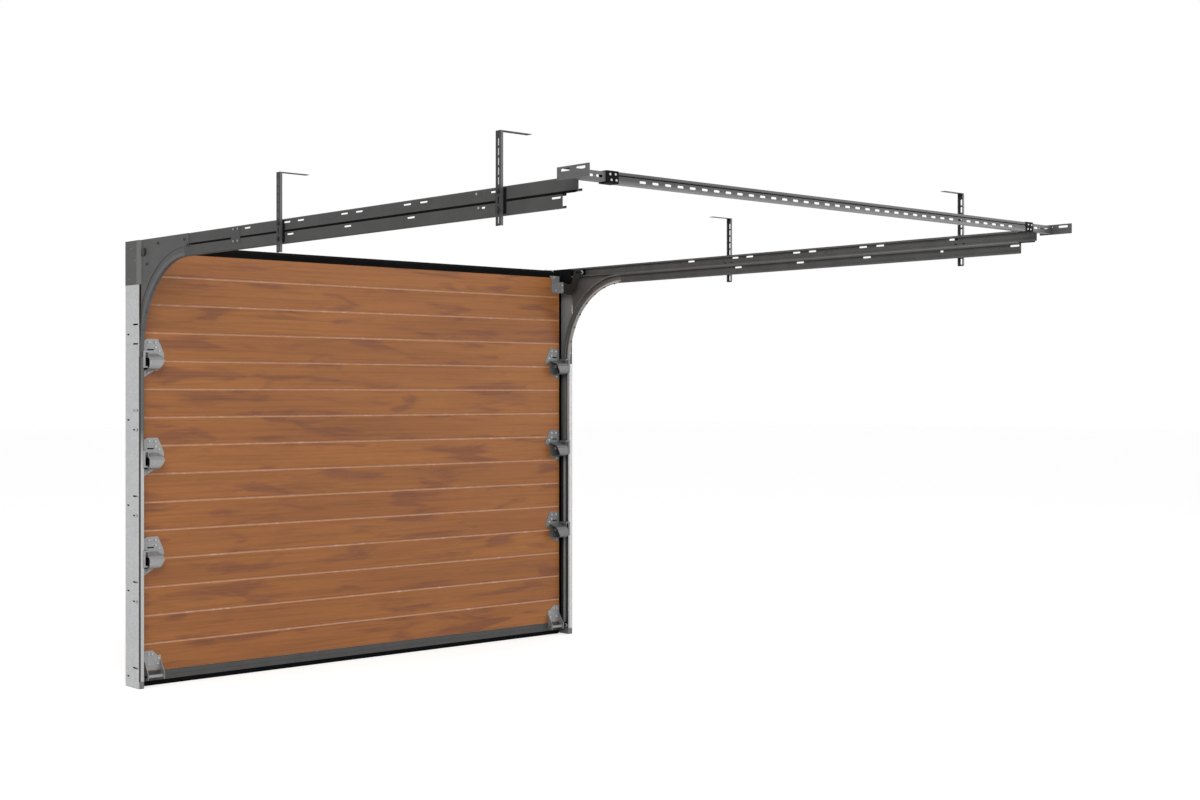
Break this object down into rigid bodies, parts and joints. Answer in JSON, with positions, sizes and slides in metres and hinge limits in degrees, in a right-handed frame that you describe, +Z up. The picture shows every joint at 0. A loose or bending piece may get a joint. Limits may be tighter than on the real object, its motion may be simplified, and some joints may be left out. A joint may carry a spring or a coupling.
{
  "type": "sectional garage door",
  "caption": "Sectional overhead garage door with a wood-look leaf, side hinges, bent roller tracks, wall posts, ceiling hangers and a rear cross bar.",
  "frame": {"origin": "on the wall face of the left post's flange, at floor level and midway across the flange, seen from inside the garage", "axes": "+X runs along the door to the right seen from inside, +Y points out of the garage through the wall, +Z up"},
  "size_m": [3, 3.59, 2.4499],
  "materials": {
    "oak_foil": "satin wood-look foil, golden oak",
    "dark_profile": "matt dark grey",
    "seal_rubber": "matt black",
    "dark_steel": "matt dark grey coat",
    "black_steel": "satin black coat",
    "black_plastic": "matt black",
    "galvanised": "dull zinc coat"
  },
  "bodies": {
    "root": {"bar_connectors": "black_plastic", "bar_stubs": "galvanised", "bottom_bracket_left": "galvanised", "bottom_bracket_right": "galvanised", "bottom_profile": "dark_profile", "bottom_rubber": "seal_rubber", "corner_plate_left": "dark_steel", "corner_plate_right": "dark_steel", "cross_bar": "galvanised", "curved_track_left": "dark_steel", "curved_track_right": "dark_steel", "hanger_clamps": "black_plastic", "hanger_left_front": "galvanised", "hanger_left_rear": "galvanised", "hanger_right_front": "galvanised", "hanger_right_rear": "galvanised", "head_blocks": "black_plastic", "hinge_left_1": "galvanised", "hinge_left_2": "galvanised", "hinge_left_3": "galvanised", "hinge_right_1": "galvanised", "hinge_right_2": "galvanised", "hinge_right_3": "galvanised", "leaf_section_1": "oak_foil", "leaf_section_2": "oak_foil", "leaf_section_3": "oak_foil", "leaf_section_4": "oak_foil", "lower_rail_left": "dark_steel", "lower_rail_right": "dark_steel", "post_feet": "black_plastic", "post_left": "galvanised", "post_right": "galvanised", "rollers_left": "black_plastic", "rollers_right": "black_plastic", "side_seals": "seal_rubber", "top_bracket_left": "galvanised", "top_bracket_right": "galvanised", "top_roller_arm_left": "black_steel", "top_roller_arm_right": "black_steel", "top_seal": "seal_rubber", "upper_rail_left": "dark_steel", "upper_rail_right": "dark_steel", "vertical_track_left": "galvanised", "vertical_track_right": "galvanised", "wall_plates": "galvanised"}
  },
  "joints": []
}
